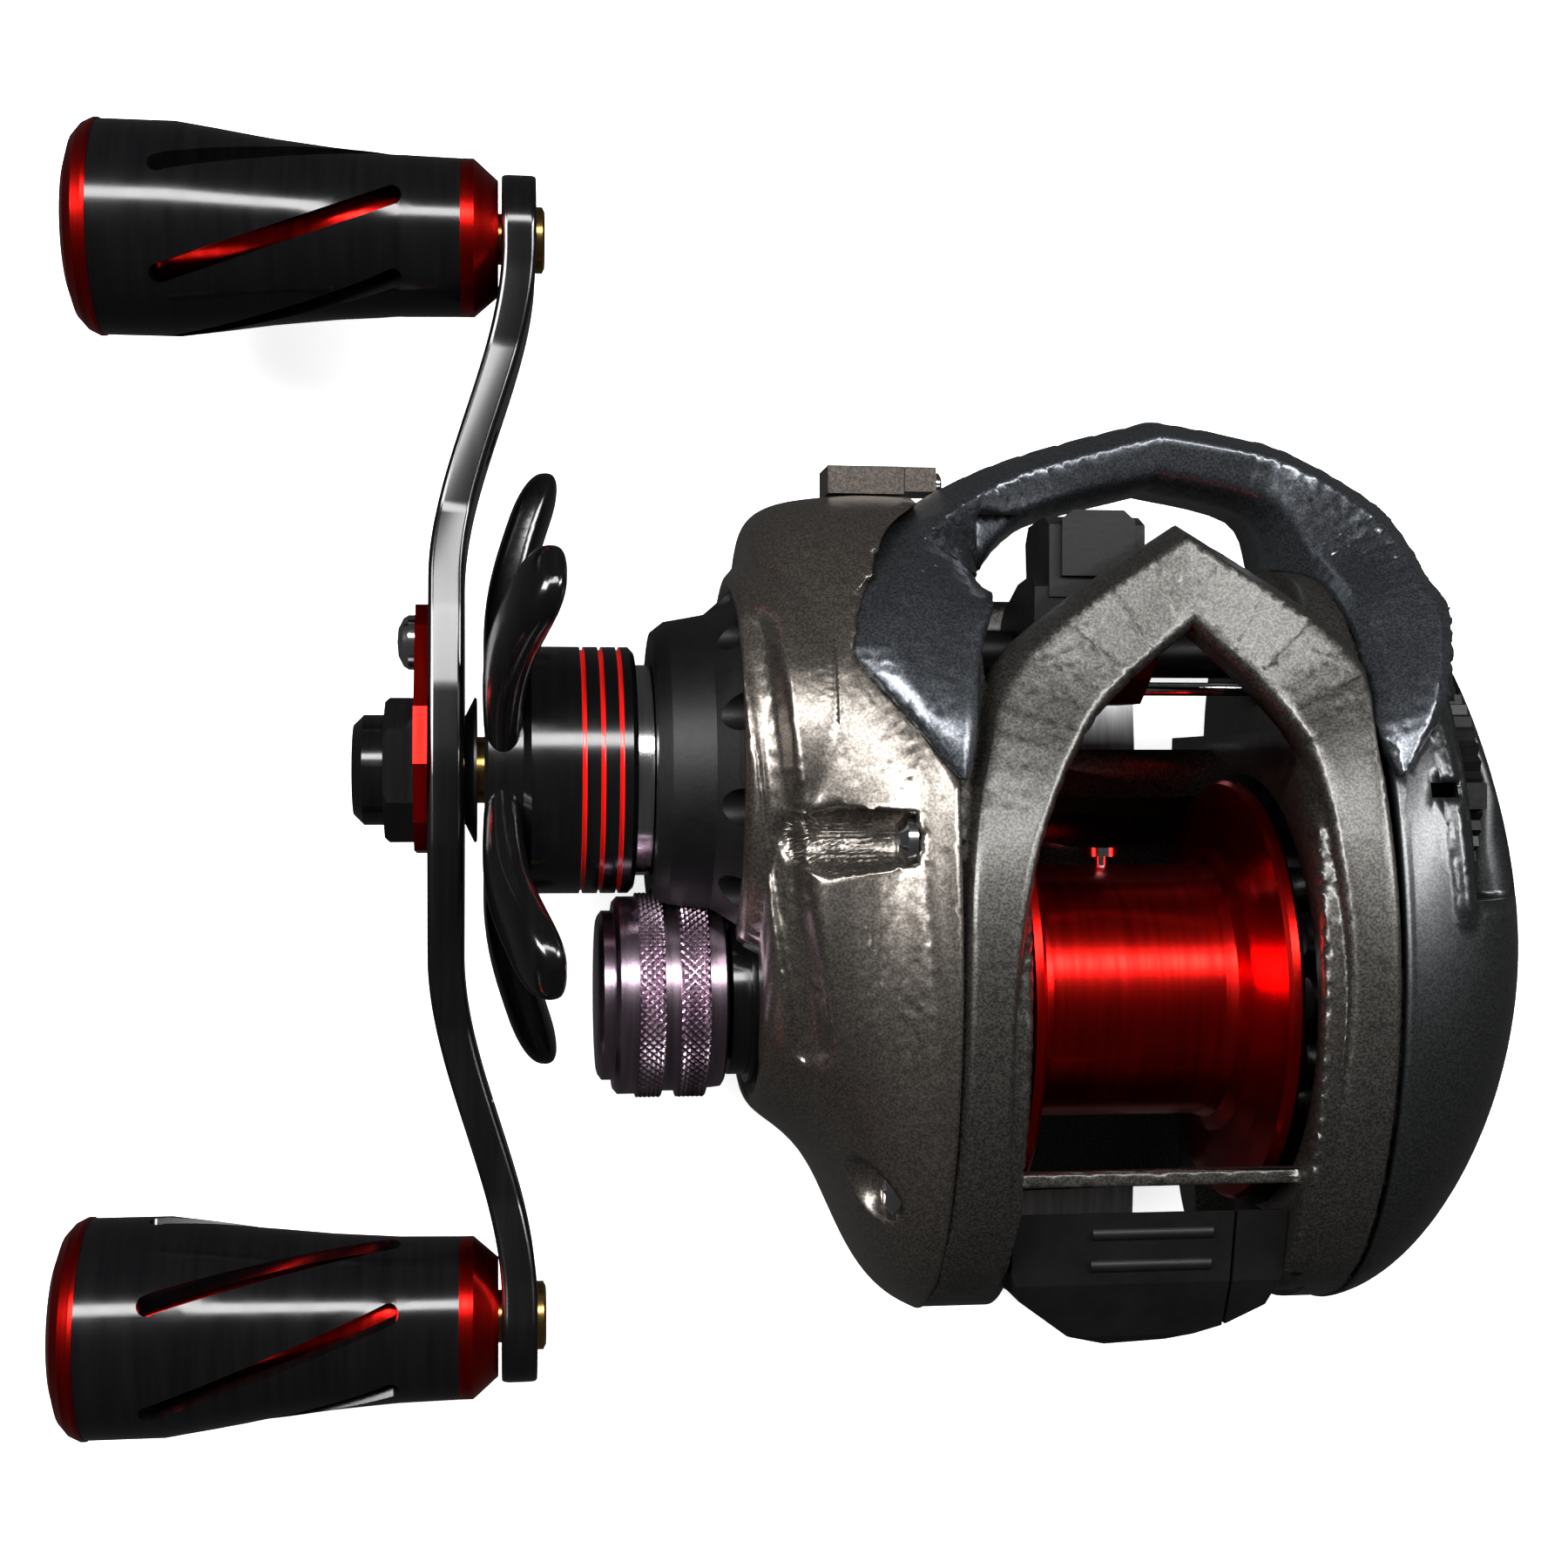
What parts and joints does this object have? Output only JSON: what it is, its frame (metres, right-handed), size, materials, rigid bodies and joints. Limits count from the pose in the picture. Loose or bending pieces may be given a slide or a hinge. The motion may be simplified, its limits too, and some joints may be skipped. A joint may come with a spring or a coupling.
{
  "type": "baitcasting reel",
  "caption": "Low-profile left-hand baitcasting fishing reel with double-knob handle, star drag, levelwind line guide, thumb clutch bar and red spool.",
  "frame": {"origin": "on the seat face under the reel foot, straight below the middle of the spool", "axes": "+X along the spool axis, away from the handle; +Y up the rod, the way the line leaves; +Z away from the rod seat"},
  "size_m": [0.1134, 0.101, 0.0463],
  "materials": {
    "frame_paint": "warm gun-metal paint, fine texture",
    "gear_cover_paint": "warm gun-metal metallic paint",
    "hood_paint": "blue-grey metallic paint",
    "palm_paint": "dark grey metallic paint, satin",
    "foot_steel": "brushed stainless steel",
    "matte_black": "matte black",
    "gloss_black": "gloss black anodised aluminium",
    "black_plastic": "black plastic",
    "red_anodised": "red anodised aluminium",
    "mauve_anodised": "mauve-grey anodised aluminium",
    "bright_steel": "polished steel",
    "inner_steel": "machined steel",
    "brass": "machined brass",
    "plain_aluminium": "machined aluminium",
    "ivory_plastic": "natural acetal plastic",
    "ceramic": "polished ceramic",
    "carbon": "woven carbon fibre",
    "keeper_metal": "dark grey-brown metal"
  },
  "bodies": {
    "reel_body": {"brake_dial_axle": "bright_steel", "brake_magnets": "inner_steel", "cover_screws": "bright_steel", "drag_boss_cover": "matte_black", "drive_bearing": "inner_steel", "foot_screws": "bright_steel", "front_hood": "hood_paint", "gear_side_cover": "gear_cover_paint", "guide_rod": "bright_steel", "hook_keeper_base": "keeper_metal", "main_frame": "frame_paint", "one_way_bearing": "inner_steel", "palm_inner_plate": "matte_black", "palm_side_cover": "palm_paint", "reel_foot": "foot_steel", "spool_bearings": "inner_steel", "tension_bush": "gloss_black", "worm_shield": "matte_black", "yoke_posts": "inner_steel", "yoke_springs": "inner_steel"},
    "handle": {"drive_shaft": "brass", "one_way_sleeve": "inner_steel", "handle_arm": "gloss_black", "handle_nut": "gloss_black", "nut_retainer_plate": "red_anodised", "nut_retainer_screw": "bright_steel", "handle_spring_washer": "inner_steel", "knob_posts": "brass", "knob_bearings": "inner_steel", "knob_screws": "bright_steel", "main_gear": "brass", "drag_washer": "carbon", "levelwind_drive_gear": "ivory_plastic", "star_spacer_ring": "bright_steel"},
    "star": {"star_drag": "gloss_black"},
    "front_knob": {"knob_shell_front": "gloss_black", "knob_outer_cap_front": "red_anodised", "knob_inner_cap_front": "red_anodised", "knob_sleeve_front": "red_anodised"},
    "rear_knob": {"knob_shell_rear": "gloss_black", "knob_outer_cap_rear": "red_anodised", "knob_inner_cap_rear": "red_anodised", "knob_sleeve_rear": "red_anodised"},
    "spool_set": {"spool": "red_anodised", "spool_shaft": "inner_steel", "line_pin": "bright_steel", "brake_rotor": "plain_aluminium"},
    "pinion": {"pinion_gear": "brass"},
    "yoke": {"pinion_yoke": "ivory_plastic"},
    "worm": {"worm_shaft": "inner_steel", "levelwind_gear": "ivory_plastic"},
    "carriage": {"line_guide": "matte_black", "line_guide_insert": "ceramic", "line_guide_pawl": "inner_steel"},
    "thumb": {"thumb_bar": "matte_black", "thumb_guide_pin": "bright_steel"},
    "tension": {"tension_knob": "mauve_anodised"},
    "dial": {"brake_dial": "black_plastic"},
    "keeper": {"hook_keeper_arm": "keeper_metal", "hook_keeper_pin": "bright_steel"}
  },
  "joints": [
    {"name": "handle_turn", "type": "hinge", "parent": "reel_body", "child": "handle", "pos_m": [-0.045, 0.0176, 0.0185], "axis": [1, 0, 0], "continuous": true},
    {"name": "spool_spin", "type": "hinge", "parent": "reel_body", "child": "spool_set", "pos_m": [0, 0, 0.02], "axis": [1, 0, 0], "continuous": true},
    {"name": "yoke_slide", "type": "slide", "parent": "reel_body", "child": "yoke", "axis": [-1, 0, 0], "range_m": [0, 0.0014], "deforming": ["yoke_springs"]},
    {"name": "pinion_spin", "type": "hinge", "parent": "yoke", "child": "pinion", "pos_m": [-0.02, 0, 0.02], "axis": [1, 0, 0], "continuous": true},
    {"name": "worm_spin", "type": "hinge", "parent": "reel_body", "child": "worm", "pos_m": [0, 0.0271, 0.017], "axis": [1, 0, 0], "continuous": true},
    {"name": "line_guide_slide", "type": "slide", "parent": "reel_body", "child": "carriage", "axis": [1, 0, 0], "range_m": [-0.0042, 0.0106]},
    {"name": "thumb_bar_press", "type": "slide", "parent": "reel_body", "child": "thumb", "axis": [0, 0, -1], "range_m": [0, 0.0035]},
    {"name": "star_drag_turn", "type": "hinge", "parent": "handle", "child": "star", "pos_m": [-0.045, 0.0176, 0.0185], "axis": [1, 0, 0], "range_deg": [-180, 180]},
    {"name": "front_knob_spin", "type": "hinge", "parent": "handle", "child": "front_knob", "pos_m": [-0.065, 0.05982, 0.01592], "axis": [1, 0, 0], "continuous": true},
    {"name": "rear_knob_spin", "type": "hinge", "parent": "handle", "child": "rear_knob", "pos_m": [-0.065, -0.02462, 0.02108], "axis": [1, 0, 0], "continuous": true},
    {"name": "tension_knob_turn", "type": "hinge", "parent": "reel_body", "child": "tension", "pos_m": [-0.037, 0, 0.02], "axis": [1, 0, 0], "range_deg": [-300, 300]},
    {"name": "brake_dial_turn", "type": "hinge", "parent": "reel_body", "child": "dial", "pos_m": [0.0239, 0.0156, 0.0244], "axis": [1, 0, 0], "range_deg": [-120, 120]},
    {"name": "hook_keeper_flip", "type": "hinge", "parent": "reel_body", "child": "keeper", "pos_m": [-0.0153, 0.0412, 0.0133], "axis": [1, 0, 0], "range_deg": [-90, 0]}
  ],
  "couplings": [
    {"joint": "spool_spin", "follows": "handle_turn", "ratio": -7.3},
    {"joint": "pinion_spin", "follows": "handle_turn", "ratio": -7.3},
    {"joint": "worm_spin", "follows": "handle_turn", "ratio": -1.5},
    {"joint": "yoke_slide", "follows": "thumb_bar_press", "ratio": 0.4}
  ]
}
